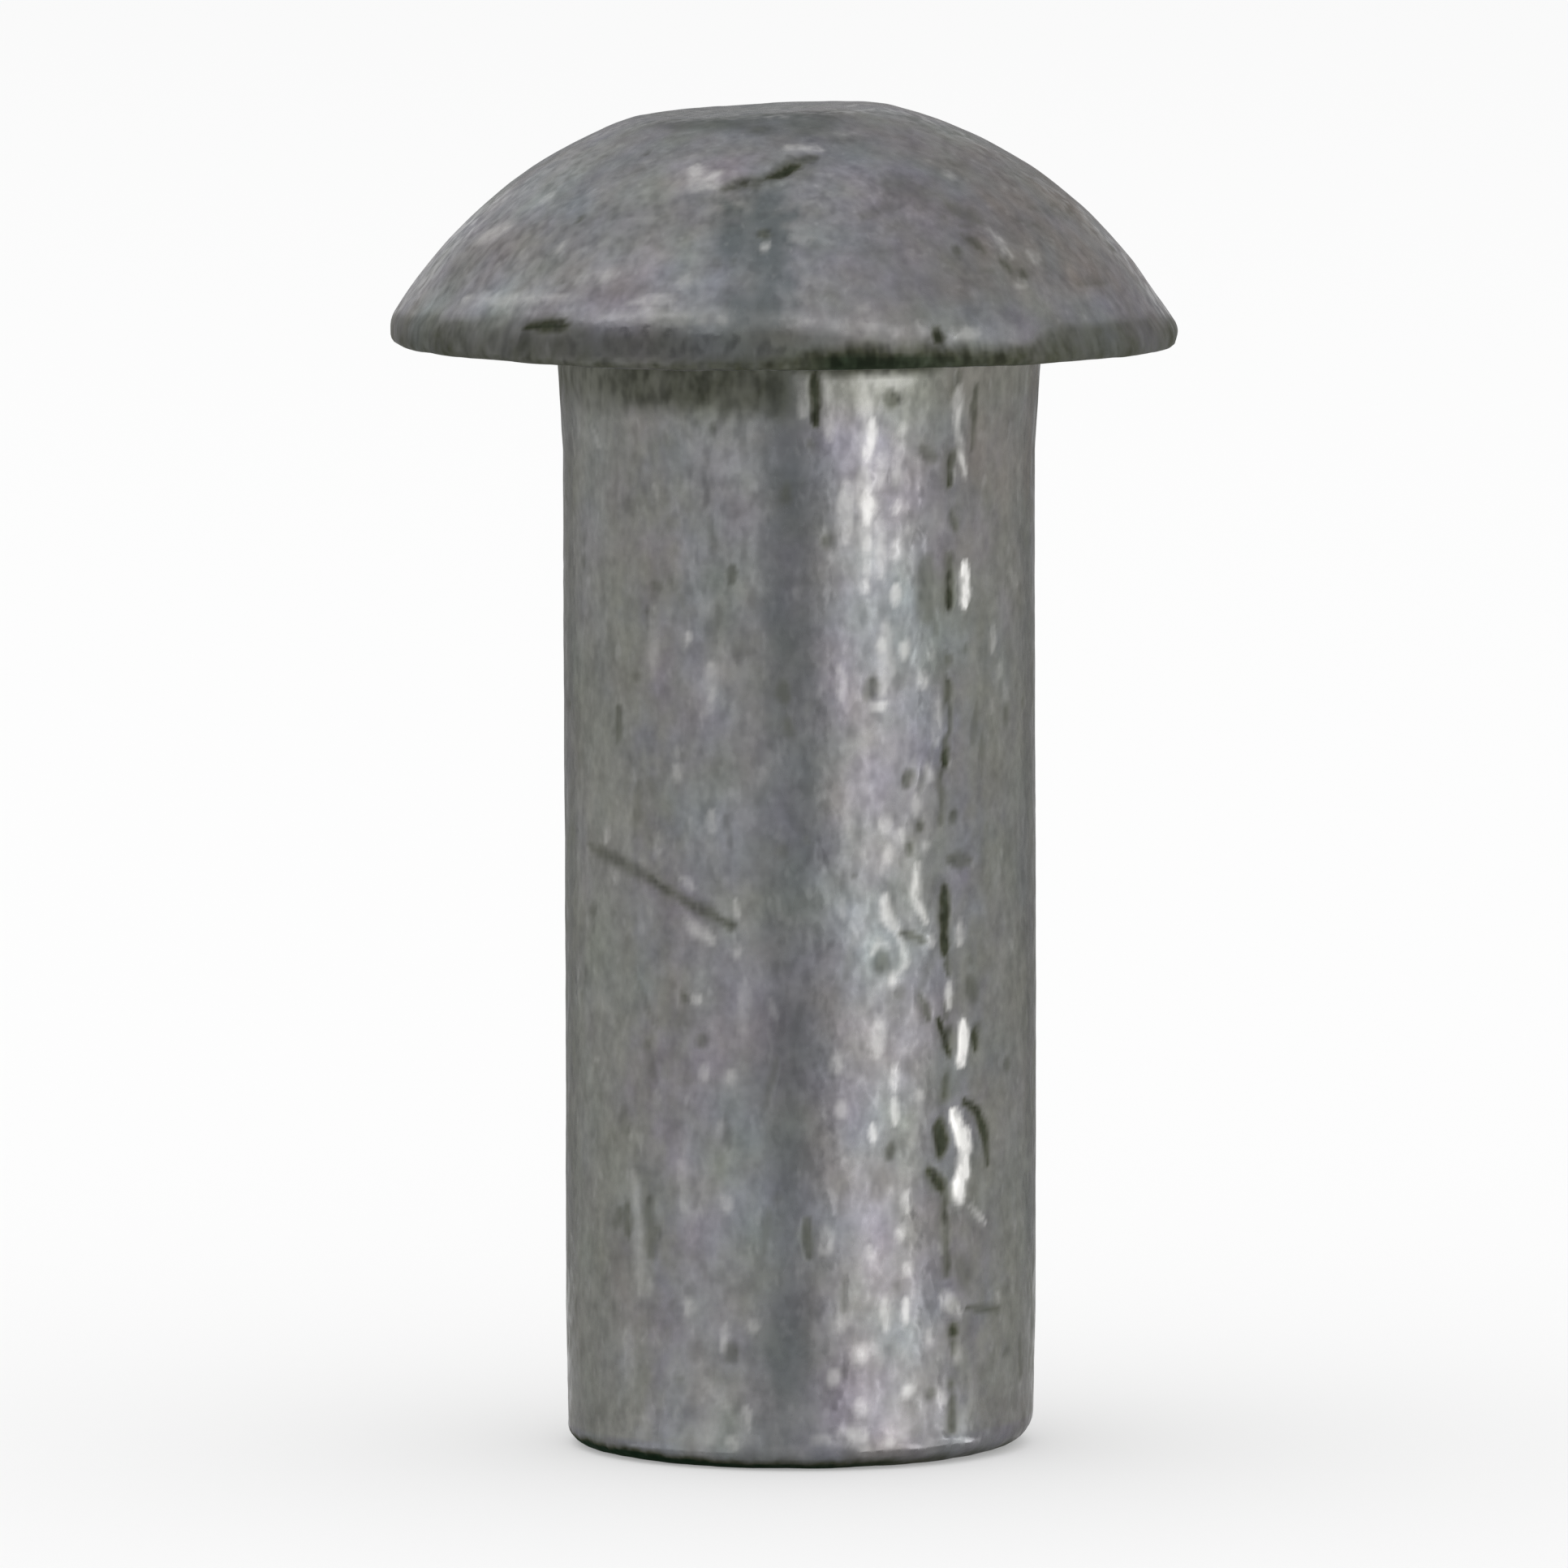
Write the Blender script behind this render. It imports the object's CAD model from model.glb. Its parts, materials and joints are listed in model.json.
import json
import math
import random

import bpy
import numpy as np
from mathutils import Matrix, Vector, noise


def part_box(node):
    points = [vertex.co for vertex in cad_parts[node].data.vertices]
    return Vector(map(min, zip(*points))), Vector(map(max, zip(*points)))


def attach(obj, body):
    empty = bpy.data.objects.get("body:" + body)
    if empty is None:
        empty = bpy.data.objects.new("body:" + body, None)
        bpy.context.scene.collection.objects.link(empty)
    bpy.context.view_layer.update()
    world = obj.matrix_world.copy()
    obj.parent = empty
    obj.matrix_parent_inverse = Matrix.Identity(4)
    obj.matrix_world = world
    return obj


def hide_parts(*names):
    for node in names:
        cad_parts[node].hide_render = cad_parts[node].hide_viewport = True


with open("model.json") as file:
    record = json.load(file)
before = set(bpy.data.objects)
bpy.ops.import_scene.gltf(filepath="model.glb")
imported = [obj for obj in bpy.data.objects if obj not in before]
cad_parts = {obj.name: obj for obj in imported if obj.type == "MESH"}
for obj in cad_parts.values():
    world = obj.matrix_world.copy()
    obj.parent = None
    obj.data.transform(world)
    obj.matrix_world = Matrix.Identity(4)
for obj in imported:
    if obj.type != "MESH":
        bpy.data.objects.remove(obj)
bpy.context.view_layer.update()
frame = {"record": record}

mm = 0.001                                    # lengths below are in millimetres, Blender's are in metres
lowCorner, highCorner = [[side / mm for side in corner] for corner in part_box("rivet")]
mounts = {mount["name"]: mount for mount in frame["record"]["mounts"]}
shankRadius = mounts["shank"]["dims"]["r_mm"]
seatHeight = mounts["head_seat"]["pos_m"][2] / mm
headRadius = (highCorner[0] - lowCorner[0]) / 2
rimCentre = (highCorner[0] + lowCorner[0]) / 2

cameraSet = {
    "elevation": 5.6,          # degrees above the horizon
    "distance": 230,
    "aim": (-0.215, 0, 8.44),
    "lens": 414.4,
    "sensor": 36,              # its width
    "clip": (0.01, 10),        # metres
}


def addObject(name, data):
    made = bpy.data.objects.new(name, data)
    bpy.context.scene.collection.objects.link(made)
    return made


def makeCamera(values):
    data = bpy.data.cameras.new("camera")
    data.lens = values["lens"]
    data.sensor_width = values["sensor"]
    data.clip_start, data.clip_end = values["clip"]
    camera = addObject("camera", data)
    tilt = math.radians(values["elevation"])
    back = Vector((0, -math.cos(tilt), math.sin(tilt)))
    camera.location = (Vector(values["aim"]) + back * values["distance"]) * mm
    camera.rotation_euler = (-back).to_track_quat("-Z", "Y").to_euler()
    bpy.context.scene.camera = camera


class Sock:                                   # an output socket that takes part in Python's sums
    def __init__(self, tree, socket=None):
        self.tree = tree
        self.socket = socket

    def node(self, kind, settings=None, inputs=None, take=0):
        made = self.tree.nodes.new(kind)
        for name, value in (settings or {}).items():
            setattr(made, name, value)
        for name, value in (inputs or {}).items():
            if isinstance(value, Sock):
                self.tree.links.new(value.socket, made.inputs[name])
            else:
                made.inputs[name].default_value = value
        return Sock(self.tree, made.outputs[take] if made.outputs else None)

    def maths(self, operation, *values):
        return self.node("ShaderNodeMath", {"operation": operation}, dict(enumerate(values)))

    def __add__(self, other):
        return self.maths("ADD", self, other)

    def __radd__(self, other):
        return self.maths("ADD", other, self)

    def __sub__(self, other):
        return self.maths("SUBTRACT", self, other)

    def __rsub__(self, other):
        return self.maths("SUBTRACT", other, self)

    def __mul__(self, other):
        return self.maths("MULTIPLY", self, other)

    def __rmul__(self, other):
        return self.maths("MULTIPLY", other, self)


def newMaterial(name):
    material = bpy.data.materials.new(name)
    material.use_nodes = True
    material.node_tree.nodes.clear()
    return material, Sock(material.node_tree)


def blendColours(share, first, second):
    return share.node("ShaderNodeMix", {"data_type": "RGBA"}, {0: share, 6: first, 7: second}, take=2)


def smooth(value, low, high):                 # 0 below low, 1 above high
    return value.node("ShaderNodeMapRange", {"interpolation_type": "SMOOTHSTEP"},
                      {"Value": value, "From Min": low, "From Max": high})


def grain(place, scale, detail=2.0, rough=0.5):
    return place.node("ShaderNodeTexNoise", None,
                      {"Vector": place, "Scale": scale, "Detail": detail, "Roughness": rough})


def grey(level, tint=(1, 1, 1)):
    return (level * tint[0], level * tint[1], level * tint[2], 1)


# Azimuths are in degrees from the camera's side (-Y), growing towards +X.
form = {
    "steps": 288,              # points round the widest rings
    "crowding": 0.4,           # how much closer they lie at the front than on average
    "crowdAt": 12.0,           # azimuth where they lie closest
    "pitch": 0.062,            # between rings on the shank
    "domePitch": 0.075,
    "domeRun": 6.1,            # length of the dome's outline, from the rim to its middle
    "rows": {"end": 20, "endRound": 9, "neck": 4, "seat": 14, "rim": 4, "lip": 7},
    "finest": 0.03,            # rings near an axis lose points below this spacing
    "fewest": 32,              # but never fewer than one point in this many
    "smallest": 0.0001,        # a ring shorter than this is one point
    "endRound": (0.4, 0.31),   # edge round the shank's end: inwards, upwards
    "endSkew": (0.1, 0.07),    # how much larger it is towards +X
    "endTaper": 0.03,          # on the radius, near the end
    "taperTop": 1.8,           # height where the taper begins
    "swell": 0.08,             # on the radius, beside the head
    "swellLength": 1.4,
    "lean": -0.025,            # of the upper shank, along X
    "leanFrom": (5, 12),       # heights between which it sets in
    "leanTo": (-0.01, 0.3),    # depths below the bearing face over which it fades
    "neckFillet": 0.1,
    "rimRound": 0.09,          # lower edge of the rim
    "roundLess": 0.04,         # how much smaller that is at the pointed side, +X
    "roundMore": 0.03,         # and larger at the blunt side, -X
    "sideWidth": 40,           # degrees over which these two sides fade
    # how far the rim's lower edge stands above the bearing face, by azimuth
    "rimEdge": ((-75, -0.012), (-45, -0.012), (-15, -0.018), (20, -0.018), (45, -0.01), (60, -0.025),
                (75, -0.035), (95, -0.03), (125, 0)),
    "rimShift": -0.035,        # of the rim's outer part, along X
    "shiftFrom": 0.3,          # inwards from the rim, where the rings have reached its centre
    "crest": 0.28,             # height of the rim's edge above the bearing face
    "crestLean": 0.05,         # how much higher it stands at -X than on average
    "crestRise": 0.3,          # how much higher it stands near the front
    "crestAt": -12.0,
    "crestWidths": (46.0, 30.0),   # degrees, towards +X and towards -X
    "frontTuck": 0.07,         # how far the rim's lower edge is drawn in at the front
    "tuckWidth": 45,           # degrees
    "tipTuck": 0.01,           # and at the pointed side
    "tipFlare": 0.055,         # how far the pointed side's upper edge stands out
    "tipWidth": 30,            # degrees
    "lipBulge": 0.05,          # of the upright lip, outwards
    "bulgeFrom": (0.3, 0.7),   # heights of the lip between which it sets in
    "tipBulge": 0.5,           # share of it that the pointed side gets besides
    "flareFade": 0.12,         # share of the dome's outline over which the flare fades
    "shiftFade": 0.15,         # and the rim's shift
    "softRows": 20,            # rows above the rim that are smoothed into each other
    "softening": 8,            # rounds of smoothing
    "softShare": 0.5,          # of the way to the rows beside, in each round
    "firmPlaces": ((-8, 22, 0.75), (90, 35, 0.85)),   # azimuth, width, and how much firmer it stays
    "domeHeight": 3.17,        # above the bearing face, without the struck flat
    "domeBase": 0.22,          # height at which the dome would be as wide as the rim
    "domeShift": -0.06,        # from the rim's centre
    "flatDepth": 0.228,        # of the struck flat, below the dome's top
    "flatTilt": 3.0,           # degrees, rising to +X
    "flatBlend": 0.05,         # how softly the struck flat runs into the dome
}


def ramp(value, low, high):
    t = np.clip((value - low) / (high - low), 0, 1)
    return t * t * (3 - 2 * t)


def bell(value, middle, width):
    return np.exp(-((value - middle) / width) ** 2)


def follow(table, value):                     # straight lines between a table's places
    return np.interp(value, *zip(*table))


def crestHeight(values, azimuth):
    width = np.where(azimuth > values["crestAt"], *values["crestWidths"])
    rise = values["crestRise"] * bell(azimuth, values["crestAt"], width)
    return values["crest"] - values["crestLean"] * np.sin(np.radians(azimuth)) + rise


def domeBall(values):                         # the ball that the dome is cut from: radius, middle
    capHeight = values["domeHeight"] - values["domeBase"]
    radius = (headRadius ** 2 + capHeight ** 2) / (2 * capHeight)
    return radius, rimCentre + values["domeShift"], seatHeight + values["domeHeight"] - radius


def straightRows(start, end, count):          # rows of (radius, height), without the first
    t = np.linspace(0, 1, count + 1)[1:, None]
    return start[0] + (end[0] - start[0]) * t, start[1] + (end[1] - start[1]) * t


def roundRows(middle, radii, start, end, count):
    t = np.radians(np.linspace(start, end, count + 1)[1:, None])
    return middle[0] + radii[0] * np.cos(t), middle[1] + radii[1] * np.sin(t)


def shankRows(values, azimuth):
    side = np.sin(np.radians(azimuth))
    inward, upward = [size + more * side for size, more in zip(values["endRound"], values["endSkew"])]
    endR = shankRadius - values["endTaper"]
    swellR = shankRadius + values["swell"]
    swellZ = seatHeight - values["swellLength"]
    taperZ = values["taperTop"]
    neck = values["neckFillet"]
    rows = values["rows"]
    taperRows, plainRows, swellRows = [round(length / values["pitch"]) for length in (
        taperZ - values["endRound"][0], swellZ - taperZ, values["swellLength"] - neck)]
    yield "end", straightRows((0 * side, 0), (endR - inward, 0), rows["end"])
    yield "end", roundRows((endR - inward, upward), (inward, upward), -90, 0, rows["endRound"])
    yield "side", straightRows((endR, upward), (shankRadius, taperZ), taperRows)
    yield "side", straightRows((shankRadius, taperZ), (shankRadius, swellZ), plainRows)
    yield "side", straightRows((shankRadius, swellZ), (swellR, seatHeight - neck), swellRows)
    yield "seat", roundRows((swellR + neck, seatHeight - neck), (neck, neck), 180, 90, rows["neck"])


def rimRows(values, azimuth):
    tip = bell(azimuth, 90, values["sideWidth"])
    blunt = bell(azimuth, -90, values["sideWidth"])
    rounding = values["rimRound"] - values["roundLess"] * tip + values["roundMore"] * blunt
    low = seatHeight + follow(values["rimEdge"], azimuth)
    tuck = values["frontTuck"] * bell(azimuth, 0, values["tuckWidth"]) + values["tipTuck"] * tip
    lowR = headRadius - tuck
    inner = shankRadius + values["swell"] + values["neckFillet"]
    rows = values["rows"]
    yield "seat", straightRows((inner, seatHeight), (lowR - rounding, low), rows["seat"])
    yield "cap", roundRows((lowR - rounding, low + rounding), (rounding, rounding), -90, 0, rows["rim"])


def domeRows(values, azimuth, lower):
    radius, middleX, middleZ = domeBall(values)
    turn = np.radians(azimuth)
    crest = seatHeight + crestHeight(values, azimuth)
    tip = bell(azimuth, 90, values["tipWidth"])
    flare = values["tipFlare"] * tip
    slant = np.arccos((crest - middleZ) / radius)
    edge = np.stack([middleX + values["rimShift"] + (radius * np.sin(slant) + flare) * np.sin(turn),
                     -(radius * np.sin(slant) + flare) * np.cos(turn), crest], axis=-1)
    outward = np.stack([np.sin(turn), -np.cos(turn), 0 * turn], axis=-1)
    swollen = ramp(crest - seatHeight, *values["bulgeFrom"]) + values["tipBulge"] * tip
    for share in np.linspace(0, 1, values["rows"]["lip"] + 1)[1:]:
        bulge = values["lipBulge"] * math.sin(math.pi * share) * outward
        yield lower + (edge - lower) * share + bulge * swollen[:, None]
    tilt = math.radians(values["flatTilt"])
    for share in np.linspace(0, 1, round(values["domeRun"] / values["domePitch"]))[1:]:
        out = radius * np.sin(slant * (1 - share)) + flare * max(0.0, 1 - share / values["flareFade"]) ** 2
        x = middleX + values["rimShift"] * max(0.0, 1 - share / values["shiftFade"]) + out * np.sin(turn)
        z = middleZ + radius * np.cos(slant * (1 - share))
        flatZ = middleZ + ((radius - values["flatDepth"]) + (x - middleX) * math.sin(tilt)) / math.cos(tilt)
        h = np.clip(0.5 + (flatZ - z) / (2 * values["flatBlend"]), 0, 1)
        z = flatZ * (1 - h) + z * h - values["flatBlend"] * h * (1 - h)
        yield np.stack([x, -out * np.cos(turn), z], axis=-1)


def roundRing(offX, radius, height, azimuth):
    turn = np.radians(azimuth)
    return np.stack([offX + radius * np.sin(turn), -radius * np.cos(turn), height + 0 * azimuth], axis=-1)


def rivetRings(values):
    turn = 2 * np.pi * np.arange(values["steps"]) / values["steps"]
    turn = turn + values["crowding"] * np.sin(turn)          # starts at the back, where the sheet is cut
    azimuth = (values["crowdAt"] + np.degrees(turn)) % 360 - 180
    rings = [{"part": "end", "at": np.zeros((values["steps"], 3))}]
    for part, (radii, heights) in shankRows(values, azimuth):
        for radius, height in zip(*np.broadcast_arrays(radii, heights)):
            share = ramp(height, *values["leanFrom"]) * ramp(seatHeight - height, *values["leanTo"])
            rings.append({"part": part, "at": roundRing(values["lean"] * share, radius, height, azimuth)})
    rimStart = shankRadius + values["swell"] + values["neckFillet"]
    for part, (radii, heights) in rimRows(values, azimuth):
        for radius, height in zip(*np.broadcast_arrays(radii, heights)):
            share = ramp(radius, rimStart, headRadius - values["shiftFrom"])
            offX = (rimCentre + values["rimShift"]) * share
            rings.append({"part": part, "at": roundRing(offX, radius, height, azimuth)})
    dome = np.stack([rings[-1]["at"]] + list(domeRows(values, azimuth, rings[-1]["at"])))
    near = dome[:values["softRows"]]
    soft = values["softShare"] * (1 - sum(firm * bell(azimuth, middle, width)
                                          for middle, width, firm in values["firmPlaces"]))
    for _ in range(values["softening"]):
        near[1:-1] += soft[:, None] * ((near[:-2] + near[2:]) / 2 - near[1:-1])
    rings += [{"part": "cap", "at": at} for at in dome[1:]]
    run = 0.0                                 # the outline's length so far
    before = rings[0]["at"]
    for ring in rings:
        whole = ring["at"]
        run += float(np.linalg.norm(whole - before, axis=1).mean())
        around = 2 * math.pi * float(np.linalg.norm(whole - whole.mean(axis=0), axis=1).mean())
        skip = 1
        while skip < values["fewest"] and around * skip / values["steps"] < values["finest"]:
            skip *= 2
        if around < values["smallest"]:
            skip = values["steps"]
        ring.update(run=run, turn=turn[::skip], at=whole[::skip])
        before = whole
    return rings


def bridge(first, count, upper, upperCount):  # faces between a ring's points and the next ring's
    if count == 1:
        return [(first, upper + (i + 1) % upperCount, upper + i) for i in range(upperCount)]
    if upperCount == 1:
        return [(first + i, first + (i + 1) % count, upper) for i in range(count)]
    faces = []
    if count == upperCount:
        for i in range(count):
            j = (i + 1) % count
            faces.append((first + i, first + j, upper + j, upper + i))
        return faces
    for i in range(min(count, upperCount)):   # one ring has twice as many points as the other
        if count > upperCount:
            a, b, c = first + 2 * i, first + 2 * i + 1, first + (2 * i + 2) % count
            d, e = upper + i, upper + (i + 1) % upperCount
            faces += [(a, b, d), (b, e, d), (b, c, e)]
        else:
            a, b = first + i, first + (i + 1) % count
            c, d, e = upper + 2 * i, upper + 2 * i + 1, upper + (2 * i + 2) % upperCount
            faces += [(a, d, c), (a, b, d), (b, e, d)]
    return faces


# Marks are (width, (azimuth, height), ...). One place alone makes a spot.
# On the head, heights start at the bearing face.
shankMarks = {
    "flake": {"rise": 0.012, "shine": 1.25, "paths": [
        (0.1, (40, 4.5), (42.3, 4.25)), (0.13, (42, 4.32), (43.5, 4.05), (43.7, 3.85)),
        (0.15, (43.7, 3.95), (42.3, 3.6)), (0.16, (41.6, 3.5)), (0.12, (43, 5.65), (42.5, 5.12)),
        (0.11, (43.7, 11.42), (43.7, 10.9)),
    ]},
    "gleam": {"rise": 0.004, "shine": 0.42, "paths": [
        (0.1, (39.7, 13.85), (41.2, 13.1)), (0.09, (41.2, 13.1), (43.6, 12.55)),
        (0.1, (17.3, 13.3), (16.7, 13.05), (16, 12.85)), (0.13, (16, 12.4), (16, 12.05)),
        (0.09, (29.2, 7.68), (28.8, 7.25), (31.9, 6.93)), (0.1, (33, 6.75), (33.2, 6.65)),
        (0.1, (42, 6.9), (42, 6.65)), (0.08, (38.4, 6.1), (38.4, 5.82)),
    ]},
    "chip": {"rise": 0.004, "shine": 0.28, "paths": [
        (0.1, (16.5, 11.75)), (0.08, (23.8, 12.25), (23.5, 12.15)), (0.12, (23.3, 11.67)),
        (0.09, (15.3, 11.2)), (0.1, (23.5, 11.2), (23.5, 11)), (0.1, (20.2, 10.55), (20.2, 10.4)),
        (0.1, (25.7, 10.4)), (0.1, (31, 10)), (0.09, (17.5, 9.7), (20.5, 9.7)), (0.08, (31.8, 7.9)),
        (0.1, (22.5, 6.23)), (0.1, (20.8, 7.3), (21, 7.05), (24, 6.85)),
        (0.09, (23.2, 5.12), (23.2, 4.82)), (0.09, (23, 4.72), (23.3, 4.4)),
        (0.09, (17.4, 4.4), (17.6, 4.2)), (0.12, (26.7, 3.5), (26.7, 3.3)), (0.09, (24.7, 3)),
        (0.05, (44.5, 3.32), (51, 3.05)), (0.13, (37.1, 3.05), (37.1, 2.75)), (0.09, (26.9, 2.55)),
        (0.09, (26.3, 2.15), (26.3, 1.9)), (0.13, (36.7, 2.18), (41.5, 1.93)), (0.12, (41, 1.4)),
        (0.11, (37.2, 0.85)), (0.1, (26.7, 1)), (0.13, (14.5, 1.5)), (0.1, (14.7, 0.8)),
        (0.07, (-28.5, 10.55)), (0.07, (-26, 5.98)),
    ]},
    "brightRub": {"rise": 0.002, "shine": 0.17, "paths": [
        (0.13, (16.2, 13.3), (15.5, 12.3), (16.3, 11.4)), (0.11, (0, 13.95), (0.3, 13.4)),
        (0.12, (5, 13.95), (7, 13.1)), (0.14, (14.5, 13.9), (16, 13.4)), (0.16, (14, 13.85), (26, 13.8)),
        (0.1, (24, 13), (23.5, 12.5)), (0.12, (20, 12.9), (19, 12.5)),
        (0.14, (20.5, 10.7), (21, 10.3), (19.5, 9.9)), (0.12, (11, 12.5), (10.5, 11.8)),
        (0.14, (19, 12), (19.5, 11.4)), (0.12, (34.8, 9.75), (34.8, 9.2)),
        (0.11, (31.8, 8.9), (34, 8.75)), (0.11, (28.8, 8.55), (28.8, 8.35)), (0.11, (20.8, 8.2)),
        (0.1, (24.5, 8.05)), (0.1, (21.5, 7.85)), (0.07, (24, 6.85), (26.5, 6.45), (24, 6.3)),
        (0.11, (30, 7.65), (29, 7.4)), (0.07, (17, 6.55), (19, 6.7), (22, 6.65)),
        (0.12, (19, 5.7), (18.5, 5.3)), (0.08, (30, 4.75)), (0.1, (20.5, 2.2), (21, 1.8)),
        (0.08, (17, 2.8)), (0.14, (6, 2.94)), (0.08, (56.4, 2.05)), (0.09, (33, 1.65)),
        (0.08, (57.5, 10.05)), (0.08, (54, 9.6)), (0.12, (9, 1.9)), (0.1, (8, 1.2)), (0.1, (10, 4.6)),
        (0.12, (8.5, 5.2)), (0.1, (9, 10.2), (9.5, 9.8)), (0.14, (4, 0.42), (15, 0.45)),
        (0.1, (-17, 0.35)), (0.1, (22, 0.4)), (0.08, (-13.5, 0.82), (-12.5, 0.58)),
        (0.12, (-22, 10.2), (-22, 9.8)), (0.1, (-31.5, 8.85)), (0.1, (-22, 8.35), (-22, 8.1)),
        (0.09, (-51, 7.45)), (0.12, (-29, 6.98), (-22, 6.72)), (0.08, (-15.5, 6.6)),
        (0.1, (-30, 7.5), (-27, 7.38)), (0.06, (-19, 1.85), (-19, 1.5)), (0.1, (54.5, 10.6), (54, 10.3)),
        (0.08, (-16, 7.25), (-15.5, 7.05)), (0.1, (-28.5, 2.05)), (0.1, (-18, 3.4)), (0.12, (-17, 5)),
        (0.09, (-24, 5.05)),
    ]},
    "faintRub": {"rise": 0.002, "shine": 0.1, "paths": [
        (0.13, (-45, 3.7), (-43, 3.15), (-42.5, 2.2)), (0.13, (-47.5, 1.75), (-45.5, 1.0)),
        (0.12, (-38, 10.9), (-38, 10.2)), (0.1, (-30, 3.9), (-29.5, 3.3)), (0.12, (-24, 1.1), (-18, 0.8)),
        (0.12, (-14, 6.2), (-14, 5.6)),
    ]},
    "groove": {"rise": -0.01, "grime": 0.5, "paths": [
        (0.09, (46.4, 13.65), (46.4, 12.9)), (0.12, (21.4, 13.6), (22.5, 13.55)),
        (0.1, (39.3, 12.1), (41, 11.9)), (0.06, (39, 9.85), (39, 9.3)), (0.09, (39.8, 8.25)),
        (0.12, (39, 7.72), (45, 7.68)), (0.09, (30.2, 6), (32.5, 5.72)), (0.08, (44.5, 1.98), (57, 1.9)),
        (0.12, (-40, 7.5), (-31, 7.27), (-23, 7.08), (-17, 6.93)), (0.11, (26.6, 8.77)),
        (0.09, (27.3, 7.87)), (0.08, (30.2, 8.16)), (0.09, (33.5, 0.95)), (0.1, (1.3, 3.2), (1.8, 2.75)),
        (0.08, (24.9, 6.83), (31.8, 6.7)), (0.09, (22, 4.05)),
    ]},
    "hollow": {"rise": -0.012, "grime": 0.84, "paths": [
        (0.1, (3.2, 14.05), (3.2, 13.7), (3.4, 13.3)), (0.16, (36.2, 4.4), (36.1, 4)),
        (0.1, (43.5, 4.62), (48.5, 4.47), (51.5, 4.15), (51.9, 3.8)), (0.15, (33, 3.75), (36.8, 3.52)),
        (0.14, (37.4, 7.35), (37.2, 6.55)), (0.13, (38, 9.12), (37.6, 8.92)),
        (0.09, (47.2, 5.48), (47.4, 5.25)), (0.1, (35.6, 5.68), (38.7, 5.25)),
        (0.11, (39, 11.35), (39, 10.9)), (0.08, (38.9, 12.8), (38.9, 12.45)),
        (0.11, (40, 1.75), (40.2, 1.68)),
    ]},
    "haze": {"rise": 0.0, "grime": 0.12, "paths": [
        (0.28, (22.5, 11), (24, 10)), (0.3, (24, 9.4), (23, 8.4)), (0.3, (30.5, 8.6), (31, 7)),
        (0.3, (-33, 6), (-28, 5)),
    ]},
    "stain": {"rise": -0.004, "grime": 0.4, "paths": [
        (0.12, (-63, 7.8), (-50, 7.65), (-36, 7.42)), (0.24, (41.5, 2.55), (44.5, 2.4)),
        (0.1, (-47, 3.3), (-47, 2.9)), (0.2, (32.2, 11.5), (32.2, 10.8)),
        (0.15, (31, 12.9), (34.5, 12.8)), (0.16, (45.5, 6.05)), (0.1, (-50, 9.6), (-50, 9.2)),
        (0.14, (-4.5, 9.9)), (0.16, (-40, 3.4), (-39, 2.7)),
    ]},
    "pit": {"rise": -0.008, "grime": 0.4, "paths": [
        (0.14, (-3.5, 12.4)), (0.09, (6, 11.8)), (0.09, (-16.7, 11.45), (-16.7, 11.3)),
        (0.12, (17.7, 9.98), (17.2, 9.87)), (0.11, (-3, 9.45)), (0.12, (60.5, 9.5)), (0.14, (20.3, 6.47)),
        (0.1, (48, 5.5)), (0.08, (-29.5, 6.0)), (0.11, (-25, 5.45)), (0.11, (-37, 3.0)),
        (0.08, (-50, 3.15)), (0.11, (-17, 1.5)), (0.08, (28, 8.8)),
    ]},
}
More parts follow.
